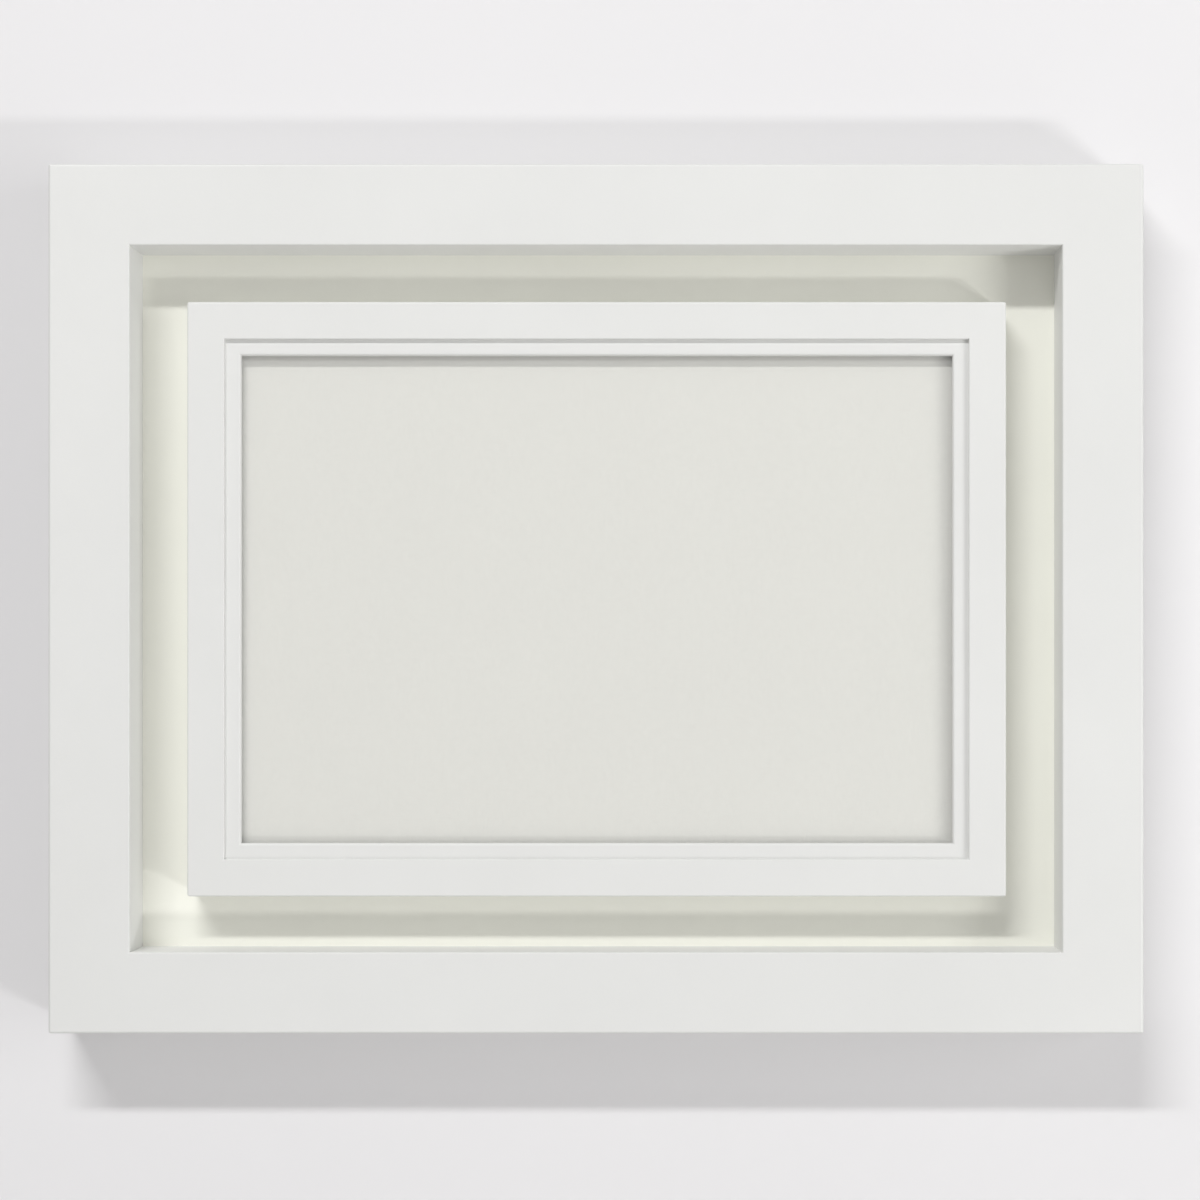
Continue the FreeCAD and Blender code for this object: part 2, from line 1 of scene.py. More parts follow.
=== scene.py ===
"""Looks for a shadow box: a white tray frame with a smaller stepped picture frame inside it."""

import json
import math

import bmesh
import bpy
from bpy.props import FloatProperty, FloatVectorProperty, PointerProperty
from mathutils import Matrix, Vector

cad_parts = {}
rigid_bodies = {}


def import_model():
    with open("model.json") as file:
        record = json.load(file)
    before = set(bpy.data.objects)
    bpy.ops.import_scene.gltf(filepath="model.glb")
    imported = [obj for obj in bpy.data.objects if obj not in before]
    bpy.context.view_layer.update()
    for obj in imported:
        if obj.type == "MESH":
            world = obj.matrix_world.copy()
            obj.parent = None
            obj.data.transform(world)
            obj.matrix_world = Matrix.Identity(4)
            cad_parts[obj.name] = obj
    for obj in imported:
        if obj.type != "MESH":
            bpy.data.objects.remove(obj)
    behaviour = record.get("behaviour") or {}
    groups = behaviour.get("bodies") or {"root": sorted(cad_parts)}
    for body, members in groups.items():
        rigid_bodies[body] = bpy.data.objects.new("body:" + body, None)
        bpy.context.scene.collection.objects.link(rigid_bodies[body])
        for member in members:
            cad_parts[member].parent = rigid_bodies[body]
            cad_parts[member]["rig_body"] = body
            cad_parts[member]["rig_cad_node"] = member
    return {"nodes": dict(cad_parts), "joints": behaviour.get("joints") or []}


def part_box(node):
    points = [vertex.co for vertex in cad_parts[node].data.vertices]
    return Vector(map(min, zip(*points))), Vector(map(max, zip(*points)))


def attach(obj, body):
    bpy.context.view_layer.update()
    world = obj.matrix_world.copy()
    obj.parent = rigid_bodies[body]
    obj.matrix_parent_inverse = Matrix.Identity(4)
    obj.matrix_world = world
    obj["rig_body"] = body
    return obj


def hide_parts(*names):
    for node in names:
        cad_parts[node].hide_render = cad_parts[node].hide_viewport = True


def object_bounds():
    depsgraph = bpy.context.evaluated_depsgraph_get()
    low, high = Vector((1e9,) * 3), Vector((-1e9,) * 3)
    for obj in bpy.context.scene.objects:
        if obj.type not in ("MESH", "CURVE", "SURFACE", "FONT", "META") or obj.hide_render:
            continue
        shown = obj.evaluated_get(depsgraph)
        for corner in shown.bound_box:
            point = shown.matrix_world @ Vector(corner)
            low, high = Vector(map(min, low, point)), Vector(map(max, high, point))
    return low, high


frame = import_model()
CAD_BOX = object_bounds()

bl_info = {
    "name": "Shadow Box",
    "version": (1, 0, 0),
    "blender": (4, 5, 0),
    "location": "View3D > Sidebar > Shadow Box",
    "description": "Builds and finishes a white shadow box with a floating inner frame",
    "category": "Object",
}

MM = 0.001
TINY = 0.00001
SIDES = ("top", "right", "bottom", "left")
HANDS = ("left", "right")
BODY = "frame"

ROUND_SIDES = 40
THREAD_DEPTH = 0.25 * MM
SCREW_TIP = 2 * MM
TIP_RADIUS = 0.15 * MM
HEAD_LAND = 0.15 * MM
COUNTERSUNK_HEAD = 3.0 * MM
PLATE_SIDES = 64
PLATE_EDGE = 0.2 * MM
PLATE_LAND = 0.9 * MM
RIB_SLOPE = 0.35 * MM
BUMPER_SIDES = 56
BUMPER_RADIUS = 5.0 * MM
BUMPER_ROUND = 1.0 * MM
BUMPER_FOOT = 0.2 * MM
DISH_RIM = 1.0 * MM
DISH_SLOPE = 0.5 * MM
SHEET_SIZE = 12

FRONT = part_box("outer_rail_top")[0].y
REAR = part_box("outer_rail_top")[1].y
MIDDLE = (CAD_BOX[0].z + CAD_BOX[1].z) / 2
OUTER_HALF = Vector((CAD_BOX[1].x, 0, CAD_BOX[1].z - MIDDLE))


class ShadowBoxFinish(bpy.types.PropertyGroup):
    """Colours and small sizes of the finished pieces."""

    paint_colour: FloatVectorProperty(
        name="Frame paint", description="Satin white on both frames",
        default=(0.80, 0.803, 0.788), subtype="COLOR", min=0, max=1)
    panel_colour: FloatVectorProperty(
        name="Panel paint", description="Cream white on the back panel",
        default=(0.955, 0.955, 0.875), subtype="COLOR", min=0, max=1)
    board_colour: FloatVectorProperty(
        name="Display board", description="Pale warm grey board behind the glass",
        default=(0.83, 0.82, 0.775), subtype="COLOR", min=0, max=1)
    hardboard_colour: FloatVectorProperty(
        name="Hardboard", description="Bare board behind the picture",
        default=(0.30, 0.19, 0.11), subtype="COLOR", min=0, max=1)
    zinc_colour: FloatVectorProperty(
        name="Zinc plate", description="Bright plated steel",
        default=(0.66, 0.67, 0.69), subtype="COLOR", min=0, max=1)
    rubber_colour: FloatVectorProperty(
        name="Rubber", description="Wall bumpers",
        default=(0.045, 0.045, 0.047), subtype="COLOR", min=0, max=1)
    outer_mitre_line: FloatProperty(
        name="Outer mitre line", description="Width of the line at the back of the outer mitres",
        default=0.18 * MM, unit="LENGTH")
    sheet_arris: FloatProperty(
        name="Sheet edge", description="Rounding on the edges of the panel, pane and boards",
        default=0.3 * MM, unit="LENGTH")
    metal_arris: FloatProperty(
        name="Metal edge", description="Rounding on the edges of pressed steel",
        default=0.15 * MM, unit="LENGTH")


class ShadowBoxHardware(bpy.types.PropertyGroup):
    """Sizes of the screws, buttons, rings and bumpers."""

    head_radius: FloatProperty(
        name="Pan head radius", description="Radius of a pan head",
        default=3.2 * MM, unit="LENGTH")
    head_height: FloatProperty(
        name="Pan head height", description="Height of a pan head",
        default=1.6 * MM, unit="LENGTH")
    shank_radius: FloatProperty(
        name="Shank radius", description="Radius over the thread",
        default=1.5 * MM, unit="LENGTH")
    recess_width: FloatProperty(
        name="Recess width", description="Width of one arm of the cross recess",
        default=0.9 * MM, unit="LENGTH")
    recess_length: FloatProperty(
        name="Recess length", description="Length of one arm of the cross recess",
        default=3.6 * MM, unit="LENGTH")
    recess_depth: FloatProperty(
        name="Recess depth", description="Depth of the cross recess",
        default=1.0 * MM, unit="LENGTH")
    thread_pitch: FloatProperty(
        name="Thread pitch", description="Distance from one thread ridge to the next",
        default=1.0 * MM, unit="LENGTH")
    button_hole: FloatProperty(
        name="Button hole radius", description="Radius of a turn button's pivot hole",
        default=1.58 * MM, unit="LENGTH")
    button_rib: FloatProperty(
        name="Button rib", description="How far the middle of a turn button is pressed up",
        default=0.2 * MM, unit="LENGTH")
    wire_radius: FloatProperty(
        name="Ring wire radius", description="Radius of a D-ring's wire",
        default=1.1 * MM, unit="LENGTH")
    ring_corner: FloatProperty(
        name="Ring corner", description="Radius of the ring's two upper corners",
        default=2.0 * MM, unit="LENGTH")
    ring_leg: FloatProperty(
        name="Ring leg", description="From the ring's bar to the start of its half-round foot",
        default=5.0 * MM, unit="LENGTH")
    bumper_dish: FloatProperty(
        name="Bumper dish", description="Depth of the shallow dish in a bumper's face",
        default=0.3 * MM, unit="LENGTH")


class ShadowBoxStage(bpy.types.PropertyGroup):
    """The wall, the light and the camera."""

    wall_colour: FloatVectorProperty(
        name="Wall", description="Pale wall behind the box",
        default=(0.83, 0.822, 0.832), subtype="COLOR", min=0, max=1)
    floor_colour: FloatVectorProperty(
        name="Floor", description="Pale floor below the box",
        default=(0.80, 0.79, 0.78), subtype="COLOR", min=0, max=1)
    floor_drop: FloatProperty(
        name="Floor drop", description="How far the floor lies below the box",
        default=1.15, unit="LENGTH")
    sky: FloatProperty(
        name="Room light", description="Strength of the even light from all round",
        default=0.405, min=0)
    top_light: FloatProperty(
        name="Top light", description="Power of the long lamp above and a little left",
        default=31.0, min=0, unit="POWER")
    bottom_light: FloatProperty(
        name="Bottom light", description="Power of the long lamp below",
        default=18.2, min=0, unit="POWER")
    right_light: FloatProperty(
        name="Right light", description="Power of the upright lamp far to the right",
        default=16.2, min=0, unit="POWER")
    back_light: FloatProperty(
        name="Back light", description="Power of the soft lamp behind the box",
        default=24.0, min=0, unit="POWER")
    eye_distance: FloatProperty(
        name="Camera distance", description="From the camera to the box's front face",
        default=0.827, unit="LENGTH")
    eye_right: FloatProperty(
        name="Camera right", description="From the middle of the box to the camera's axis",
        default=0.0358, unit="LENGTH")
    eye_down: FloatProperty(
        name="Camera down", description="How far the camera's axis is below the middle of the box",
        default=0.0295, unit="LENGTH")
    lens: FloatProperty(
        name="Lens", description="Focal length in millimetres", default=73.49)
    shift_right: FloatProperty(
        name="Shift right", description="Camera shift across", default=-0.085)
    shift_up: FloatProperty(
        name="Shift up", description="Camera shift up", default=0.0717)


# ---------------------------------------------------------------- mesh helpers

def deselect_all():
    if bpy.context.object and bpy.context.object.mode != "OBJECT":
        bpy.ops.object.mode_set(mode="OBJECT")
    bpy.ops.object.select_all(action="DESELECT")


def make_active(piece):
    deselect_all()
    piece.select_set(True)
    bpy.context.view_layer.objects.active = piece


def pick(piece, kind, test):
    """Select the verts, edges or faces of the piece being edited that pass a test."""
    bpy.ops.mesh.select_mode(type=kind.upper())
    bpy.ops.mesh.select_all(action="DESELECT")
    mesh = bmesh.from_edit_mesh(piece.data)
    lists = {"vert": mesh.verts, "edge": mesh.edges, "face": mesh.faces}
    found = 0
    for item in lists[kind]:
        if test(item):
            item.select_set(True)
            found += 1
    bmesh.update_edit_mesh(piece.data)
    if not found:
        raise RuntimeError(f"nothing to select on {piece.name}")


def edge_at(height):
    """A test for edges that lie level at a height in Z."""
    return lambda edge: all(abs(vert.co.z - height) < TINY for vert in edge.verts)


def face_towards(direction, height=None):
    """A test for faces whose normal points along a direction, at a height in Z if one is given."""
    def test(face):
        level = height is None or abs(face.calc_center_median().z - height) < TINY
        return level and face.normal.dot(Vector(direction)) > 0.99
    return test


def apply_place(piece):
    """Carry the object's place, turn and size into its mesh."""
    make_active(piece)
    bpy.ops.object.transform_apply(location=True, rotation=True, scale=True)


def smooth(piece, degrees=35):
    """Shade the curves smooth, and keep each flat true right up to its rounded edge."""
    make_active(piece)
    bpy.ops.object.shade_smooth_by_angle(angle=math.radians(degrees))
    weighted = piece.modifiers.new("true flats", "WEIGHTED_NORMAL")
    weighted.keep_sharp = True
    bpy.ops.object.modifier_apply(modifier=weighted.name)


def refined_copy(node, name):
    """A clean copy of a CAD node: points merged, flat triangles joined into whole faces."""
    make_active(frame["nodes"][node])
    bpy.ops.object.duplicate()
    piece = bpy.context.active_object
    piece.name = name
    piece.parent = None
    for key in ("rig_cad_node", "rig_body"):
        del piece[key]
    bpy.ops.mesh.customdata_custom_splitnormals_clear()
    bpy.ops.object.mode_set(mode="EDIT")
    bpy.ops.mesh.select_all(action="SELECT")
    bpy.ops.mesh.remove_doubles(threshold=TINY / 10)
    bpy.ops.mesh.dissolve_limited(angle_limit=math.radians(0.2))
    bpy.ops.object.mode_set(mode="OBJECT")
    return piece


def round_edges(piece, width, segments=2, degrees=40):
    """A small rounding on every edge sharper than an angle."""
    make_active(piece)
    bevel = piece.modifiers.new("edges", "BEVEL")
    bevel.width = width
    bevel.segments = segments
    bevel.limit_method = "ANGLE"
    bevel.angle_limit = math.radians(degrees)
    bevel.use_clamp_overlap = True
    bpy.ops.object.modifier_apply(modifier=bevel.name)


def cut_away(piece, cutter):
    """Take the cutter out of the piece, and delete the cutter."""
    make_active(piece)
    boolean = piece.modifiers.new("cut", "BOOLEAN")
    boolean.operation = "DIFFERENCE"
    boolean.solver = "EXACT"
    boolean.object = cutter
    bpy.ops.object.modifier_apply(modifier=boolean.name)
    bpy.data.objects.remove(cutter)


def placed_copy(pattern, name, place, turn=(0, 0, 0)):
    """A copy of the pattern with its own mesh, turned and moved, its place then applied."""
    make_active(pattern)
    bpy.ops.object.duplicate()
    copy = bpy.context.active_object
    copy.rotation_euler = turn
    copy.location = place
    apply_place(copy)
    copy.name = name
    return copy


def facing_wall(spin):
    """The turn that points a pattern's +Z at the wall, spun about its own axis."""
    return (-math.pi / 2, spin, 0)


def copies(pattern, name, spots):
    """The pattern, modelled along +Z, at each (place, spin) facing the wall, as one piece."""
    made = []
    for place, spin in spots:
        made.append(placed_copy(pattern, name, place, facing_wall(spin)))
    bpy.data.objects.remove(pattern)
    deselect_all()
    for copy in made:
        copy.select_set(True)
    bpy.context.view_layer.objects.active = made[0]
    if len(made) > 1:
        bpy.ops.object.join()
    made[0].name = name
    return made[0]


def settle(piece, body, material, slot, *nodes):
    """Give a finished piece its material and its body, and hide the CAD nodes it stands for. The
    slot is not used.
    """
    piece.data.materials.clear()
    piece.data.materials.append(material)
    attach(piece, body)
    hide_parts(*nodes)


# ------------------------------------------------------------ material helpers

def node(tree, kind, inputs=None, **settings):
    """Add a node: its settings first, then its inputs, each a value or a socket to link."""
    made = tree.nodes.new(kind)
    for key, value in settings.items():
        setattr(made, key, value)
    for key, value in (inputs or {}).items():
        if isinstance(value, bpy.types.NodeSocket):
            tree.links.new(value, made.inputs[key])
        else:
            made.inputs[key].default_value = value
    return made


def object_coords(tree):
    return tree.nodes.new("ShaderNodeTexCoord").outputs["Object"]


def stretched(tree, coords, scale):
    return node(tree, "ShaderNodeMapping", {"Vector": coords, "Scale": scale}).outputs["Vector"]


def noise(tree, coords, scale, detail=2.0, rough=0.5):
    return node(tree, "ShaderNodeTexNoise", {
        "Vector": coords, "Scale": scale, "Detail": detail, "Roughness": rough}).outputs["Fac"]


def ramp(tree, value, low, high, to_low=0.0, to_high=1.0):
    return node(tree, "ShaderNodeMapRange", {
        "Value": value, "From Min": low, "From Max": high,
        "To Min": to_low, "To Max": to_high}).outputs["Result"]


def maths(tree, operation, first, second):
    return node(tree, "ShaderNodeMath", {0: first, 1: second},
                operation=operation).outputs["Value"]


def mix_colour(tree, factor, first, second, blend="MIX"):
    made = node(tree, "ShaderNodeMix", {0: factor, 6: first, 7: second},
                data_type="RGBA", blend_type=blend)
    return made.outputs[2]


def new_group(name, inputs, outputs):
    """An empty shader node group; inputs and outputs are (name, kind, default)."""
    group = bpy.data.node_groups.new(name, "ShaderNodeTree")
    kinds = {"value": "NodeSocketFloat", "colour": "NodeSocketColor", "vector": "NodeSocketVector"}
    for label, kind, default in inputs:
        socket = group.interface.new_socket(label, in_out="INPUT", socket_type=kinds[kind])
        if default is not None:
            socket.default_value = default
    for label, kind in outputs:
        group.interface.new_socket(label, in_out="OUTPUT", socket_type=kinds[kind])
    return group, group.nodes.new("NodeGroupInput"), group.nodes.new("NodeGroupOutput")


def paint_film():
    """Sprayed or rolled paint: soft clouds of tone, orange peel, fine grain and a few dust nibs."""
    if "paint_film" in bpy.data.node_groups:
        return bpy.data.node_groups["paint_film"]
    group, given, result = new_group(
        "paint_film",
        (("Coords", "vector", None), ("Colour", "colour", (0.8, 0.8, 0.8, 1)),
         ("Shade", "colour", (0.7, 0.7, 0.7, 1)), ("Peel Scale", "value", 900.0),
         ("Nib Scale", "value", 90.0), ("Smooth", "value", 0.4), ("Dull", "value", 0.55)),
        (("Colour", "colour"), ("Roughness", "value"), ("Height", "value")))
    coords = given.outputs["Coords"]
    cloud = noise(group, coords, 14.0, 4.0, 0.55)
    speckle = noise(group, coords, 2600.0, 1.0)
    tone = maths(group, "ADD", ramp(group, cloud, 0.3, 0.7, 0.0, 0.8),
                 ramp(group, speckle, 0.35, 0.65, 0.0, 0.2))
    colour = mix_colour(group, tone, given.outputs["Colour"], given.outputs["Shade"])
    peel = noise(group, coords, given.outputs["Peel Scale"], 2.0, 0.45)
    spots = node(group, "ShaderNodeTexVoronoi", {
        "Vector": coords, "Scale": given.outputs["Nib Scale"]}).outputs["Distance"]
    nib = ramp(group, spots, 0.0, 0.045, 1.0, 0.0)
    height = maths(group, "ADD", maths(group, "ADD", peel, maths(group, "MULTIPLY", speckle, 0.25)),
                   maths(group, "MULTIPLY", nib, 0.6))
    patch = noise(group, coords, 38.0, 3.0)
    span = node(group, "ShaderNodeMapRange", {
        "Value": patch, "From Min": 0.3, "From Max": 0.7,
        "To Min": given.outputs["Smooth"], "To Max": given.outputs["Dull"]}).outputs["Result"]
    group.links.new(colour, result.inputs["Colour"])
    group.links.new(span, result.inputs["Roughness"])
    group.links.new(height, result.inputs["Height"])
    return group


def fibre_sheet():
    """Pressed fibre: short strands lying across each other, with darker flecks."""
    if "fibre_sheet" in bpy.data.node_groups:
        return bpy.data.node_groups["fibre_sheet"]
    group, given, result = new_group(
        "fibre_sheet",
        (("Coords", "vector", None), ("Colour", "colour", (0.8, 0.8, 0.8, 1)),
         ("Fleck", "colour", (0.5, 0.5, 0.5, 1)), ("Strand Scale", "value", 500.0),
         ("Fleck Amount", "value", 0.2)),
        (("Colour", "colour"), ("Height", "value")))
    coords = given.outputs["Coords"]
    along = noise(group, stretched(group, coords, (0.22, 1.0, 1.0)),
                  given.outputs["Strand Scale"], 2.0)
    across = noise(group, stretched(group, coords, (1.0, 1.0, 0.22)),
                   given.outputs["Strand Scale"], 2.0)
    strands = maths(group, "MAXIMUM", along, across)
    cloud = noise(group, coords, 22.0, 3.0)
    amount = maths(group, "MULTIPLY", ramp(group, strands, 0.45, 0.75),
                   given.outputs["Fleck Amount"])
    tone = maths(group, "ADD", amount, ramp(group, cloud, 0.3, 0.7, 0.0, 0.12))
    colour = mix_colour(group, tone, given.outputs["Colour"], given.outputs["Fleck"])
    group.links.new(colour, result.inputs["Colour"])
    group.links.new(strands, result.inputs["Height"])
    return group


def new_material(name):
    """A material with only its output and an empty Principled shader."""
    material = bpy.data.materials.new(name)
    material.use_nodes = True
    tree = material.node_tree
    return material, tree, tree.nodes["Principled BSDF"]


def bump(tree, height, distance):
    """A bump at full strength, its height given in metres by the distance."""
    return node(tree, "ShaderNodeBump", {
        "Height": height, "Distance": distance, "Strength": 1.0}).outputs["Normal"]


def shade_of(colour, share):
    """The same colour, darker or lighter by a share."""
    return (*(channel * share for channel in colour), 1)


def painted(name, colour, shade, peel_scale, nib_scale, smoothest, dullest, relief):
    if name in bpy.data.materials:
        return bpy.data.materials[name]
    material, tree, shader = new_material(name)
    film = node(tree, "ShaderNodeGroup", node_tree=paint_film())
    tree.links.new(object_coords(tree), film.inputs["Coords"])
    film.inputs["Colour"].default_value = (*colour, 1)
    film.inputs["Shade"].default_value = shade
    film.inputs["Peel Scale"].default_value = peel_scale
    film.inputs["Nib Scale"].default_value = nib_scale
    film.inputs["Smooth"].default_value = smoothest
    film.inputs["Dull"].default_value = dullest
    tree.links.new(film.outputs["Colour"], shader.inputs["Base Color"])
    tree.links.new(film.outputs["Roughness"], shader.inputs["Roughness"])
    tree.links.new(bump(tree, film.outputs["Height"], relief), shader.inputs["Normal"])
    shader.inputs["Specular IOR Level"].default_value = 0.4
    return material


def white_paint():
    """Satin white, sprayed over sanded wood."""
    colour = bpy.context.scene.shadow_box_finish.paint_colour
    return painted("white_satin_paint", colour, shade_of(colour, 0.965),
                   850.0, 75.0, 0.42, 0.56, 0.012 * MM)


def cream_paint():
    """Flat cream white, rolled on board."""
    colour = bpy.context.scene.shadow_box_finish.panel_colour
    return painted("cream_board_paint", colour, shade_of(colour, 0.97),
                   1400.0, 120.0, 0.7, 0.85, 0.02 * MM)


def sheet_material(name, colour, fleck, strand_scale, fleck_amount, relief):
    if name in bpy.data.materials:
        return bpy.data.materials[name]
    material, tree, shader = new_material(name)
    sheet = node(tree, "ShaderNodeGroup", node_tree=fibre_sheet())
    tree.links.new(object_coords(tree), sheet.inputs["Coords"])
    sheet.inputs["Colour"].default_value = (*colour, 1)
    sheet.inputs["Fleck"].default_value = fleck
    sheet.inputs["Strand Scale"].default_value = strand_scale
    sheet.inputs["Fleck Amount"].default_value = fleck_amount
    tree.links.new(sheet.outputs["Colour"], shader.inputs["Base Color"])
    tree.links.new(bump(tree, sheet.outputs["Height"], relief), shader.inputs["Normal"])
    shader.inputs["Roughness"].default_value = 0.85
    shader.inputs["Specular IOR Level"].default_value = 0.25
    return material


def art_board():
    """Pale warm grey board with a fine laid surface."""
    colour = bpy.context.scene.shadow_box_finish.board_colour
    return sheet_material("art_board", colour, shade_of(colour, 0.93), 1500.0, 0.6, 0.015 * MM)


def hardboard():
    """Brown pressed fibre with dark flecks."""
    colour = bpy.context.scene.shadow_box_finish.hardboard_colour
    return sheet_material("brown_hardboard", colour, shade_of(colour, 0.45), 600.0, 0.9, 0.05 * MM)


def zinc():
    """Bright zinc plate: a faint crystal pattern, drawn scratches and duller patches."""
    if "zinc_plate" in bpy.data.materials:
        return bpy.data.materials["zinc_plate"]
    colour = bpy.context.scene.shadow_box_finish.zinc_colour
    material, tree, shader = new_material("zinc_plate")
    coords = object_coords(tree)
    crystal = node(tree, "ShaderNodeTexVoronoi", {"Vector": coords, "Scale": 420.0})
    facet = node(tree, "ShaderNodeSeparateColor", {"Color": crystal.outputs["Color"]})
    drawn = noise(tree, stretched(tree, coords, (1.0, 1.0, 0.08)), 5200.0, 3.0)
    patch = noise(tree, coords, 160.0, 4.0)
    tone = maths(tree, "ADD", ramp(tree, facet.outputs["Red"], 0.0, 1.0, 0.0, 0.35),
                 ramp(tree, patch, 0.35, 0.7, 0.0, 0.65))
    tint = mix_colour(tree, tone, (*colour, 1), shade_of(colour, 0.72))
    tree.links.new(tint, shader.inputs["Base Color"])
    dull = maths(tree, "ADD", ramp(tree, patch, 0.3, 0.7, 0.26, 0.42),
                 ramp(tree, drawn, 0.3, 0.7, -0.04, 0.06))
    tree.links.new(dull, shader.inputs["Roughness"])
    tree.links.new(bump(tree, drawn, 0.004 * MM), shader.inputs["Normal"])
    shader.inputs["Metallic"].default_value = 1.0
    return material


def rubber():
    """Black moulded rubber with a dusty bloom."""
    if "bumper_rubber" in bpy.data.materials:
        return bpy.data.materials["bumper_rubber"]
    colour = bpy.context.scene.shadow_box_finish.rubber_colour
    material, tree, shader = new_material("bumper_rubber")
    coords = object_coords(tree)
    bloom = noise(tree, coords, 260.0, 4.0)
    pores = noise(tree, coords, 3400.0, 2.0)
    dusty = shade_of(colour, 2.1)
    tint = mix_colour(tree, ramp(tree, bloom, 0.4, 0.75, 0.0, 0.6), (*colour, 1), dusty)
    tree.links.new(tint, shader.inputs["Base Color"])
    tree.links.new(ramp(tree, bloom, 0.3, 0.7, 0.6, 0.85), shader.inputs["Roughness"])
    tree.links.new(bump(tree, pores, 0.02 * MM), shader.inputs["Normal"])
    return material


def clear_glass():
    """A clean pane that lets lamps and bounced light through to the board."""
    if "clear_glass" in bpy.data.materials:
        return bpy.data.materials["clear_glass"]
    material, tree, shader = new_material("clear_glass")
    haze = noise(tree, object_coords(tree), 30.0, 3.0)
    tint = mix_colour(tree, ramp(tree, haze, 0.3, 0.7),
                      (0.99, 0.995, 0.992, 1), (0.98, 0.985, 0.982, 1))
    tree.links.new(tint, shader.inputs["Base Color"])
    shader.inputs["Transmission Weight"].default_value = 1.0
    shader.inputs["IOR"].default_value = 1.5
    shader.inputs["Roughness"].default_value = 0.0
    clear = node(tree, "ShaderNodeBsdfTransparent", {"Color": (0.975, 0.978, 0.974, 1)})
    path = tree.nodes.new("ShaderNodeLightPath")
    passing = maths(tree, "MAXIMUM", path.outputs["Is Shadow Ray"], path.outputs["Is Diffuse Ray"])
    mixed = node(tree, "ShaderNodeMixShader", {
        0: passing, 1: shader.outputs["BSDF"], 2: clear.outputs["BSDF"]})
    tree.links.new(mixed.outputs["Shader"], tree.nodes["Material Output"].inputs["Surface"])
    return material


# --------------------------------------------------------------------- pieces

def on_mitre(point):
    """True where a point lies in one of the tray frame's four mitre planes."""
    across = abs(point.x) - OUTER_HALF.x
    up = abs(point.z - MIDDLE) - OUTER_HALF.z
    return abs(across - up) < TINY


class SHADOWBOX_OT_outer_rails(bpy.types.Operator):
    """Finish the tray frame's four rails, with a fine open line where the mitres show behind"""

    bl_idname = "object.shadow_box_outer_rails"
    bl_label = "Outer rails"

    def execute(self, context):
        line = context.scene.shadow_box_finish.outer_mitre_line
        for side in SIDES:
            piece = refined_copy(f"outer_rail_{side}", f"tray_rail_{side}")
            bpy.ops.object.mode_set(mode="EDIT")
            pick(piece, "edge", lambda edge: all(
                on_mitre(vert.co) and vert.co.y > REAR - TINY for vert in edge.verts))
            bpy.ops.mesh.bevel(offset=line, segments=1, affect="EDGES")
            smooth(piece)
            settle(piece, BODY, white_paint(), "white_painted_wood", f"outer_rail_{side}")
        return {"FINISHED"}


class SHADOWBOX_OT_inner_rails(bpy.types.Operator):
    """Finish the inner frame's four stepped rails, their mitres filled and painted over"""

    bl_idname = "object.shadow_box_inner_rails"
    bl_label = "Inner rails"

    def execute(self, context):
        for side in SIDES:
            piece = refined_copy(f"inner_rail_{side}", f"inner_moulding_{side}")
            smooth(piece)
            settle(piece, BODY, white_paint(), "white_painted_wood", f"inner_rail_{side}")
        return {"FINISHED"}


class SHADOWBOX_OT_back_panel(bpy.types.Operator):
    """Finish the back panel, its edges eased and its screw holes countersunk"""

    bl_idname = "object.shadow_box_back_panel"
    bl_label = "Back panel"

    def execute(self, context):
        piece = refined_copy("back_panel", "tray_back")
        bpy.ops.object.mode_set(mode="EDIT")
        low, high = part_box("back_panel")
        pick(piece, "edge", lambda edge: all(
            min(abs(vert.co.x - low.x), abs(vert.co.x - high.x),
                abs(vert.co.z - low.z), abs(vert.co.z - high.z)) < TINY for vert in edge.verts))
        bpy.ops.mesh.bevel(
            offset=context.scene.shadow_box_finish.sheet_arris, segments=2, affect="EDGES")
        smooth(piece)
        settle(piece, BODY, cream_paint(), "cream_panel", "back_panel")
        return {"FINISHED"}


class SHADOWBOX_OT_inner_picture(bpy.types.Operator):
    """Finish the pane, the display board and the backing board inside the inner frame"""

    bl_idname = "object.shadow_box_inner_picture"
    bl_label = "Pane and boards"

    def execute(self, context):
        arris = context.scene.shadow_box_finish.sheet_arris
        sheets = (
            ("inner_glass", "window_pane", clear_glass(), "clear_glass"),
            ("display_board", "picture_board", art_board(), "display_board"),
            ("inner_backing_board", "backing_sheet", hardboard(), "brown_hardboard"),
        )
        for cad_node, name, material, slot in sheets:
            piece = refined_copy(cad_node, name)
            round_edges(piece, arris)
            smooth(piece)
            settle(piece, BODY, material, slot, cad_node)
        return {"FINISHED"}


class SHADOWBOX_OT_corner_nails(bpy.types.Operator):
    """Finish the bent nails in the mitres and the tabs that hold the picture in"""

    bl_idname = "object.shadow_box_corner_nails"
    bl_label = "Corner nails and tabs"

    def execute(self, context):
        for cad_node, name in (("outer_v_nails", "tray_corner_nails"),
                               ("inner_v_nails", "inner_corner_nails"),
                               ("inner_flex_points", "picture_tabs")):
            piece = refined_copy(cad_node, name)
            round_edges(piece, context.scene.shadow_box_finish.metal_arris / 2, 1)
            smooth(piece)
            settle(piece, BODY, zinc(), "zinc_steel", cad_node)
        return {"FINISHED"}


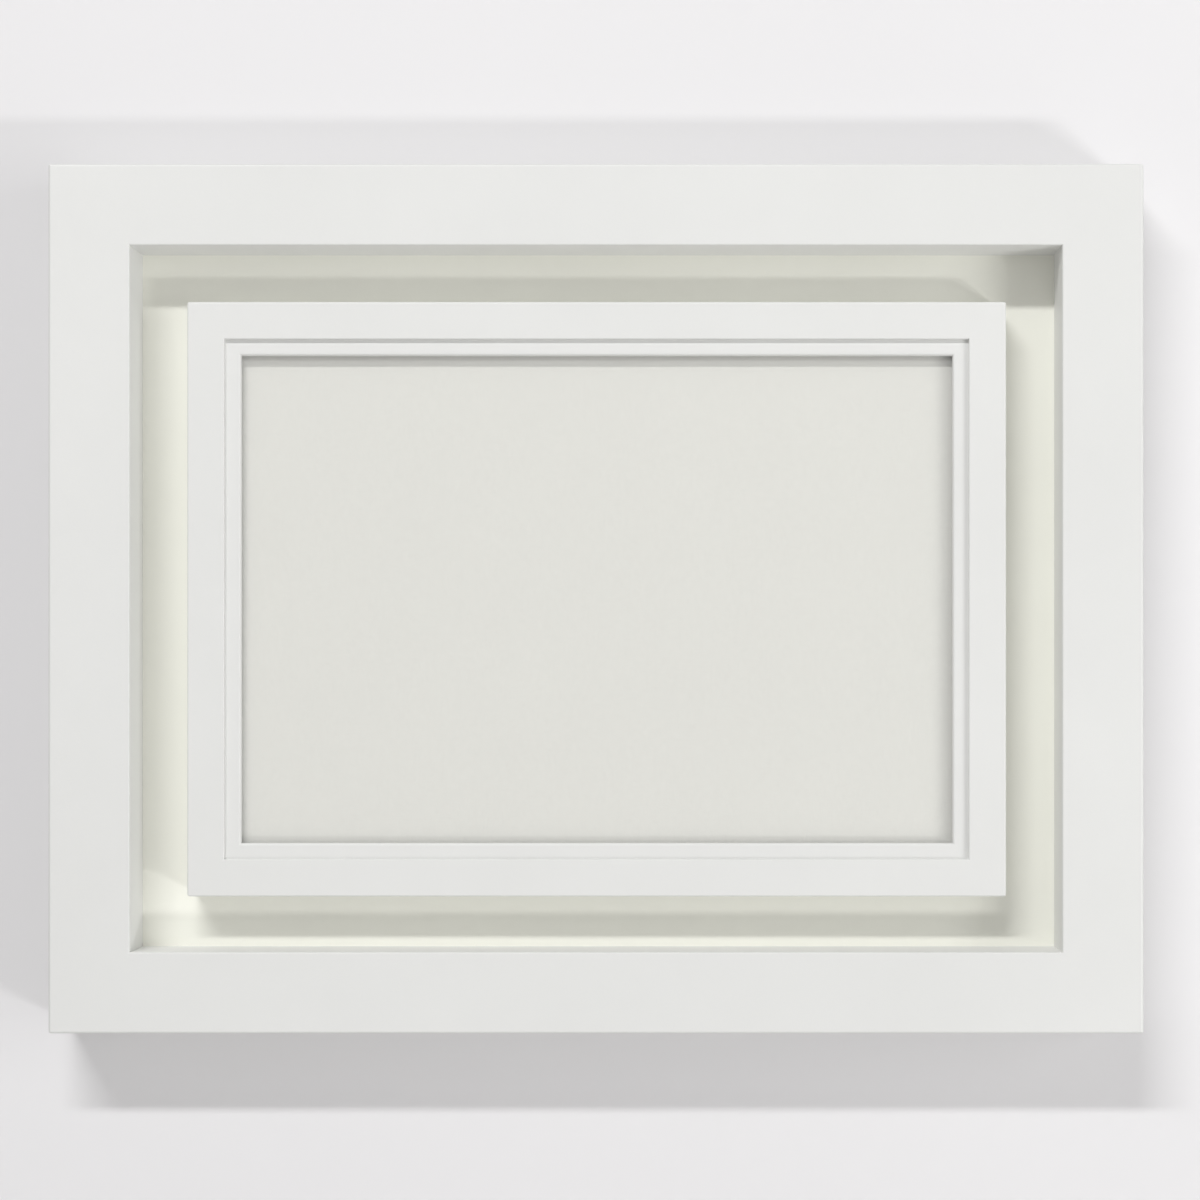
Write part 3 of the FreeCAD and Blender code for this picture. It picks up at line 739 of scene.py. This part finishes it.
def cross_cut(piece, top, hardware):
    """Sink a tapered cross recess into a screw head whose top is at this height."""
    for turn in (0, math.pi / 2):
        deselect_all()
        bpy.ops.mesh.primitive_cube_add(size=1, location=(0, 0, top), rotation=(0, 0, turn))
        bar = bpy.context.active_object
        bar.scale = (hardware.recess_width, hardware.recess_length, 2 * hardware.recess_depth)
        apply_place(bar)
        bpy.ops.object.mode_set(mode="EDIT")
        pick(bar, "face", face_towards((0, 0, -1)))
        bpy.ops.transform.resize(value=(0.7, 0.7, 1.0))
        bpy.ops.object.mode_set(mode="OBJECT")
        cut_away(piece, bar)


def threaded_shank(smooth_length, length, hardware):
    """Carry the selected end face down as a shank with ridges, ending in a point."""
    groove = hardware.shank_radius - THREAD_DEPTH
    rise = hardware.thread_pitch / 2
    radius = hardware.shank_radius
    steps = [(smooth_length, hardware.shank_radius)]
    ridges = int((length - smooth_length - SCREW_TIP) / hardware.thread_pitch)
    for _ in range(ridges):
        steps.append((rise, groove))
        steps.append((rise, hardware.shank_radius))
    used = smooth_length + ridges * hardware.thread_pitch
    steps.append((length - used, TIP_RADIUS))
    for drop, next_radius in steps:
        bpy.ops.mesh.extrude_region_move(TRANSFORM_OT_translate={"value": (0, 0, -drop)})
        share = next_radius / radius
        bpy.ops.transform.resize(value=(share, share, 1.0))
        radius = next_radius


def pan_screw(length, smooth_length, hardware):
    """A pan-head screw standing along +Z, the underside of its head at Z = 0."""
    deselect_all()
    bpy.ops.mesh.primitive_cylinder_add(
        vertices=ROUND_SIDES, radius=hardware.head_radius, depth=hardware.head_height,
        location=(0, 0, hardware.head_height / 2))
    piece = bpy.context.active_object
    apply_place(piece)
    bpy.ops.object.mode_set(mode="EDIT")
    pick(piece, "edge", edge_at(hardware.head_height))
    bpy.ops.mesh.bevel(offset=hardware.head_height * 0.6, segments=5, affect="EDGES")
    pick(piece, "face", face_towards((0, 0, -1), 0))
    bpy.ops.mesh.inset(thickness=hardware.head_radius - hardware.shank_radius)
    threaded_shank(smooth_length, length, hardware)
    bpy.ops.object.mode_set(mode="OBJECT")
    cross_cut(piece, hardware.head_height, hardware)
    smooth(piece)
    return piece


def countersunk_screw(length, hardware):
    """A countersunk screw standing along +Z, the top of its head at Z = 0."""
    deselect_all()
    bpy.ops.mesh.primitive_cylinder_add(
        vertices=ROUND_SIDES, radius=COUNTERSUNK_HEAD, depth=HEAD_LAND,
        location=(0, 0, -HEAD_LAND / 2))
    piece = bpy.context.active_object
    apply_place(piece)
    bpy.ops.object.mode_set(mode="EDIT")
    pick(piece, "face", face_towards((0, 0, -1), -HEAD_LAND))
    cone = COUNTERSUNK_HEAD - hardware.shank_radius - HEAD_LAND
    bpy.ops.mesh.inset(thickness=HEAD_LAND)
    bpy.ops.mesh.extrude_region_move(TRANSFORM_OT_translate={"value": (0, 0, -cone)})
    share = hardware.shank_radius / (COUNTERSUNK_HEAD - HEAD_LAND)
    bpy.ops.transform.resize(value=(share, share, 1.0))
    threaded_shank(2 * MM, length - HEAD_LAND - cone, hardware)
    bpy.ops.object.mode_set(mode="OBJECT")
    cross_cut(piece, 0, hardware)
    smooth(piece)
    return piece


def pivot_of(body):
    """The pivot of the one joint that a body turns on."""
    joint = next(joint for joint in frame["joints"] if joint["child"] == body)
    return Vector(joint["pos_m"])


def buttons():
    """The turn buttons' names, in order."""
    return sorted(name for name in frame["nodes"] if name.startswith("turn_button_")
                  and name[-1].isdigit())


class SHADOWBOX_OT_turn_buttons(bpy.types.Operator):
    """Press the six turn buttons out of sheet steel, each on its own pivot"""

    bl_idname = "object.shadow_box_turn_buttons"
    bl_label = "Turn buttons"

    def execute(self, context):
        low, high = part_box(buttons()[0])
        size = high - low
        width = min(size.x, size.z)
        length = max(size.x, size.z)
        pattern = self.pressed_plate(
            width / 2, length - width, size.y, context.scene.shadow_box_hardware)
        for number, name in enumerate(buttons(), 1):
            low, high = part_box(name)
            pivot = pivot_of(name)
            arm = (low + high) / 2 - pivot
            turn = facing_wall(math.atan2(-arm.x, -arm.z))
            plate = placed_copy(
                pattern, f"button_plate_{number}", (pivot.x, low.y, pivot.z), turn)
            settle(plate, name, zinc(), "zinc_steel", name)
        bpy.data.objects.remove(pattern)
        return {"FINISHED"}

    @staticmethod
    def pressed_plate(radius, reach, thick, hardware):
        """A round-ended plate lying on Z = 0 with its arm along +Y and a pressed-up middle."""
        deselect_all()
        flat = thick - hardware.button_rib
        bpy.ops.mesh.primitive_cylinder_add(
            vertices=PLATE_SIDES, radius=radius / math.cos(math.pi / PLATE_SIDES), depth=flat,
            location=(0, 0, flat / 2), rotation=(0, 0, math.pi / PLATE_SIDES))
        piece = bpy.context.active_object
        apply_place(piece)
        bpy.ops.object.mode_set(mode="EDIT")
        pick(piece, "vert", lambda vert: vert.co.y > 0)
        bpy.ops.transform.translate(value=(0, reach, 0))
        pick(piece, "edge", lambda edge: edge_at(flat)(edge) or edge_at(0)(edge))
        bpy.ops.mesh.bevel(offset=PLATE_EDGE, segments=3, affect="EDGES")
        pick(piece, "face", face_towards((0, 0, 1), flat))
        bpy.ops.mesh.inset(thickness=PLATE_LAND)
        bpy.ops.mesh.inset(thickness=RIB_SLOPE, depth=hardware.button_rib)
        bpy.ops.object.mode_set(mode="OBJECT")
        deselect_all()
        bpy.ops.mesh.primitive_cylinder_add(
            vertices=ROUND_SIDES, radius=hardware.button_hole, depth=4 * thick)
        cut_away(piece, bpy.context.active_object)
        smooth(piece)
        return piece


class SHADOWBOX_OT_screws(bpy.types.Operator):
    """Turn the screws: pan heads for the buttons and hangers, countersunk for the inner frame"""

    bl_idname = "object.shadow_box_screws"
    bl_label = "Screws"

    def execute(self, context):
        hardware = context.scene.shadow_box_hardware
        self.button_screws(hardware)
        self.hanger_screws(hardware)
        self.inner_frame_screws(hardware)
        return {"FINISHED"}

    @staticmethod
    def button_screws(hardware):
        low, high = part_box("turn_button_screws")
        under_head = high.y - hardware.head_height
        pattern = pan_screw(under_head - low.y, under_head - REAR, hardware)
        spots = []
        for number, name in enumerate(buttons()):
            pivot = pivot_of(name)
            spots.append((Vector((pivot.x, under_head, pivot.z)), 0.4 + 1.1 * number))
        piece = copies(pattern, "button_pivot_screws", spots)
        settle(piece, BODY, zinc(), "zinc_steel", "turn_button_screws")

    @staticmethod
    def hanger_screws(hardware):
        low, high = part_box("hanger_screws")
        under_head = high.y - hardware.head_height
        pattern = pan_screw(under_head - low.y, under_head - REAR, hardware)
        spots = []
        for hand in HANDS:
            across = pivot_of(f"d_ring_{hand}").x
            for up in (high.z - hardware.head_radius, low.z + hardware.head_radius):
                spots.append((Vector((across, under_head, up)), 0.9 + 0.8 * len(spots)))
        piece = copies(pattern, "strap_screws", spots)
        settle(piece, BODY, zinc(), "zinc_steel", "hanger_screws")

    @staticmethod
    def inner_frame_screws(hardware):
        low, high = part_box("inner_frame_screws")
        pattern = countersunk_screw(high.y - low.y, hardware)
        spots = []
        for across in (low.x + COUNTERSUNK_HEAD, high.x - COUNTERSUNK_HEAD):
            for up in (low.z + COUNTERSUNK_HEAD, high.z - COUNTERSUNK_HEAD):
                spots.append((Vector((across, high.y, up)), 0.5 + 0.7 * len(spots)))
        piece = copies(pattern, "inner_frame_fixings", spots)
        settle(piece, BODY, zinc(), "zinc_steel", "inner_frame_screws")


class SHADOWBOX_OT_hanger_straps(bpy.types.Operator):
    """Finish the two hanger straps with eased edges round the rolled eye"""

    bl_idname = "object.shadow_box_hanger_straps"
    bl_label = "Hanger straps"

    def execute(self, context):
        pattern = refined_copy("hanger_strap_left", "strap_pattern")
        round_edges(pattern, context.scene.shadow_box_finish.metal_arris)
        smooth(pattern)
        for hand in HANDS:
            across = pivot_of(f"d_ring_{hand}") - pivot_of("d_ring_left")
            strap = placed_copy(pattern, f"ring_strap_{hand}", across)
            settle(strap, BODY, zinc(), "zinc_steel", f"hanger_strap_{hand}")
        bpy.data.objects.remove(pattern)
        return {"FINISHED"}


class SHADOWBOX_OT_d_rings(bpy.types.Operator):
    """Bend the two wire rings, a straight bar with two legs and a half-round foot"""

    bl_idname = "object.shadow_box_d_rings"
    bl_label = "D-rings"

    def execute(self, context):
        hardware = context.scene.shadow_box_hardware
        low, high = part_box("d_ring_left")
        half = (high.x - low.x) / 2 - hardware.wire_radius
        pattern = self.bent_wire(half, hardware)
        # the wire's middle at the foot is this far towards the wall from the pivot
        out = high.y - hardware.wire_radius - pivot_of("d_ring_left").y
        lean = math.asin(out / (hardware.ring_leg + half))
        for hand in HANDS:
            name = f"d_ring_{hand}"
            ring = placed_copy(pattern, f"wire_ring_{hand}", pivot_of(name), (lean, 0, 0))
            settle(ring, name, zinc(), "zinc_steel", name)
        bpy.data.objects.remove(pattern)
        return {"FINISHED"}

    @staticmethod
    def bent_wire(half, hardware):
        """The ring hanging in the XZ plane with its bar's middle at the origin."""
        corner = hardware.ring_corner
        leg = hardware.ring_leg
        deselect_all()
        bpy.ops.mesh.primitive_circle_add(
            vertices=20, radius=hardware.wire_radius, rotation=(0, math.pi / 2, 0))
        ring = bpy.context.active_object
        apply_place(ring)
        bpy.ops.object.mode_set(mode="EDIT")
        bpy.ops.mesh.select_mode(type="VERT")
        bpy.ops.mesh.select_all(action="SELECT")
        run = half - corner
        bends = (
            ((run, 0, 0), (run, 0, -corner), math.pi / 2, 8),
            ((0, 0, corner - leg), (0, 0, -leg), math.pi, 24),
            ((0, 0, leg - corner), (-run, 0, -corner), math.pi / 2, 8),
        )
        for straight, centre, angle, steps in bends:
            bpy.ops.mesh.extrude_region_move(TRANSFORM_OT_translate={"value": straight})
            bpy.ops.mesh.spin(steps=steps, angle=angle, center=centre, axis=(0, -1, 0))
        bpy.ops.mesh.extrude_region_move(TRANSFORM_OT_translate={"value": (run, 0, 0)})
        bpy.ops.mesh.select_all(action="SELECT")
        bpy.ops.mesh.remove_doubles(threshold=TINY)
        bpy.ops.mesh.normals_make_consistent(inside=False)
        bpy.ops.object.mode_set(mode="OBJECT")
        smooth(ring, 60)
        return ring


class SHADOWBOX_OT_wall_bumpers(bpy.types.Operator):
    """Mould the four round bumpers with a shallow dish in each face"""

    bl_idname = "object.shadow_box_wall_bumpers"
    bl_label = "Wall bumpers"

    def execute(self, context):
        hardware = context.scene.shadow_box_hardware
        low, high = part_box("wall_bumpers")
        height = high.y - low.y
        deselect_all()
        bpy.ops.mesh.primitive_cylinder_add(
            vertices=BUMPER_SIDES, radius=BUMPER_RADIUS, depth=height,
            location=(0, 0, height / 2))
        pattern = bpy.context.active_object
        apply_place(pattern)
        bpy.ops.object.mode_set(mode="EDIT")
        pick(pattern, "edge", edge_at(height))
        bpy.ops.mesh.bevel(offset=BUMPER_ROUND, segments=6, affect="EDGES")
        pick(pattern, "edge", edge_at(0))
        bpy.ops.mesh.bevel(offset=BUMPER_FOOT, segments=2, affect="EDGES")
        pick(pattern, "face", face_towards((0, 0, 1), height))
        bpy.ops.mesh.inset(thickness=DISH_RIM)
        bpy.ops.mesh.inset(thickness=DISH_SLOPE, depth=-hardware.bumper_dish)
        bpy.ops.object.mode_set(mode="OBJECT")
        smooth(pattern)
        spots = []
        for across in (low.x + BUMPER_RADIUS, high.x - BUMPER_RADIUS):
            for up in (low.z + BUMPER_RADIUS, high.z - BUMPER_RADIUS):
                spots.append((Vector((across, low.y, up)), 0))
        piece = copies(pattern, "rubber_bumpers", spots)
        settle(piece, BODY, rubber(), "bumper_rubber", "wall_bumpers")
        return {"FINISHED"}


# ---------------------------------------------------------------------- stage

def plain_plaster(name, colour, one_sided):
    """A flat pale surface. One-sided, it is there only for what looks at its front."""
    material, tree, shader = new_material(name)
    cloud = noise(tree, object_coords(tree), 3.0, 4.0)
    tint = mix_colour(tree, ramp(tree, cloud, 0.3, 0.7), (*colour, 1), shade_of(colour, 0.985))
    tree.links.new(tint, shader.inputs["Base Color"])
    shader.inputs["Roughness"].default_value = 0.9
    shader.inputs["Specular IOR Level"].default_value = 0.1
    if one_sided:
        clear = tree.nodes.new("ShaderNodeBsdfTransparent")
        path = tree.nodes.new("ShaderNodeLightPath")
        side = tree.nodes.new("ShaderNodeNewGeometry")
        facing = maths(tree, "SUBTRACT", 1.0, side.outputs["Backfacing"])
        seen = maths(tree, "MULTIPLY", path.outputs["Is Camera Ray"], facing)
        mixed = node(tree, "ShaderNodeMixShader", {
            0: seen, 1: clear.outputs["BSDF"], 2: shader.outputs["BSDF"]})
        tree.links.new(mixed.outputs["Shader"], tree.nodes["Material Output"].inputs["Surface"])
    return material


class SHADOWBOX_OT_stage(bpy.types.Operator):
    """Set up the wall, the floor, the lamps and the camera"""

    bl_idname = "object.shadow_box_stage"
    bl_label = "Stage"

    def execute(self, context):
        stage = context.scene.shadow_box_stage
        self.sheet("pale_wall", (0, CAD_BOX[1].y, MIDDLE), (math.pi / 2, 0, 0),
                   plain_plaster("pale_wall", stage.wall_colour, True))
        self.sheet("pale_floor", (0, 0, CAD_BOX[0].z - stage.floor_drop), (0, 0, 0),
                   plain_plaster("pale_floor", stage.floor_colour, False))
        # direction from the box, distance, size across and up, power
        self.lamp("top_lamp", (-0.37, -1.0, 0.98), 2.4, (1.25, 0.12), stage.top_light)
        self.lamp("bottom_lamp", (1.15, -1.0, -0.66), 2.4, (0.8, 0.16), stage.bottom_light)
        self.lamp("right_lamp", (1.7, -1.0, 0.1), 2.4, (0.8, 1.2), stage.right_light)
        self.lamp("back_lamp", (0.5, 1.0, 0.7), 3.0, (2.4, 1.8), stage.back_light)
        self.room(context, stage.sky)
        self.camera(context, stage)
        return {"FINISHED"}

    @staticmethod
    def sheet(name, place, turn, material):
        deselect_all()
        bpy.ops.mesh.primitive_plane_add(size=SHEET_SIZE, location=place, rotation=turn)
        sheet = bpy.context.active_object
        sheet.name = name
        sheet.data.materials.append(material)

    @staticmethod
    def lamp(name, direction, distance, size, power):
        """A strip lamp that lies level, so that the shadows of level edges stay crisp."""
        away = Vector(direction).normalized()
        lean = math.copysign(math.atan2(math.hypot(*away[:2]), away.z), -away.y)
        deselect_all()
        bpy.ops.object.light_add(type="AREA", location=Vector((0, 0, MIDDLE)) + away * distance,
                                 rotation=(lean, 0, 0))
        lamp = bpy.context.active_object
        lamp.name = name
        lamp.data.shape = "RECTANGLE"
        lamp.data.size, lamp.data.size_y = size
        lamp.data.energy = power
        lamp.visible_camera = False

    @staticmethod
    def room(context, strength):
        world = bpy.data.worlds.new("room")
        world.use_nodes = True
        background = world.node_tree.nodes["Background"]
        background.inputs["Color"].default_value = (1.0, 0.995, 0.99, 1)
        background.inputs["Strength"].default_value = strength
        context.scene.world = world

    @staticmethod
    def camera(context, stage):
        place = (stage.eye_right, FRONT - stage.eye_distance, MIDDLE - stage.eye_down)
        deselect_all()
        bpy.ops.object.camera_add(location=place, rotation=(math.pi / 2, 0, 0))
        camera = bpy.context.active_object
        camera.name = "front_camera"
        camera.data.lens = stage.lens
        camera.data.sensor_width = 36.0
        camera.data.shift_x = stage.shift_right
        camera.data.shift_y = stage.shift_up
        context.scene.camera = camera
        context.scene.view_settings.view_transform = "Standard"


OPERATORS = (
    SHADOWBOX_OT_outer_rails,
    SHADOWBOX_OT_inner_rails,
    SHADOWBOX_OT_back_panel,
    SHADOWBOX_OT_inner_picture,
    SHADOWBOX_OT_corner_nails,
    SHADOWBOX_OT_turn_buttons,
    SHADOWBOX_OT_screws,
    SHADOWBOX_OT_hanger_straps,
    SHADOWBOX_OT_d_rings,
    SHADOWBOX_OT_wall_bumpers,
    SHADOWBOX_OT_stage,
)


class SHADOWBOX_PT_panel(bpy.types.Panel):
    """Everything the shadow box is made of"""

    bl_idname = "SHADOWBOX_PT_panel"
    bl_label = "Shadow Box"
    bl_space_type = "VIEW_3D"
    bl_region_type = "UI"
    bl_category = "Shadow Box"

    def draw(self, context):
        for operator in OPERATORS:
            self.layout.operator(operator.bl_idname)
        for settings in ("finish", "hardware", "stage"):
            box = self.layout.box()
            group = getattr(context.scene, f"shadow_box_{settings}")
            for key in group.__annotations__:
                box.prop(group, key)


CLASSES = (ShadowBoxFinish, ShadowBoxHardware, ShadowBoxStage, *OPERATORS, SHADOWBOX_PT_panel)


def register():
    for item in CLASSES:
        bpy.utils.register_class(item)
    bpy.types.Scene.shadow_box_finish = PointerProperty(type=ShadowBoxFinish)
    bpy.types.Scene.shadow_box_hardware = PointerProperty(type=ShadowBoxHardware)
    bpy.types.Scene.shadow_box_stage = PointerProperty(type=ShadowBoxStage)


def unregister():
    del bpy.types.Scene.shadow_box_stage
    del bpy.types.Scene.shadow_box_hardware
    del bpy.types.Scene.shadow_box_finish
    for item in reversed(CLASSES):
        bpy.utils.unregister_class(item)


def main():
    register()
    for operator in OPERATORS:
        group, name = operator.bl_idname.split(".")
        getattr(getattr(bpy.ops, group), name)()
    deselect_all()


if __name__ == "__main__":
    main()
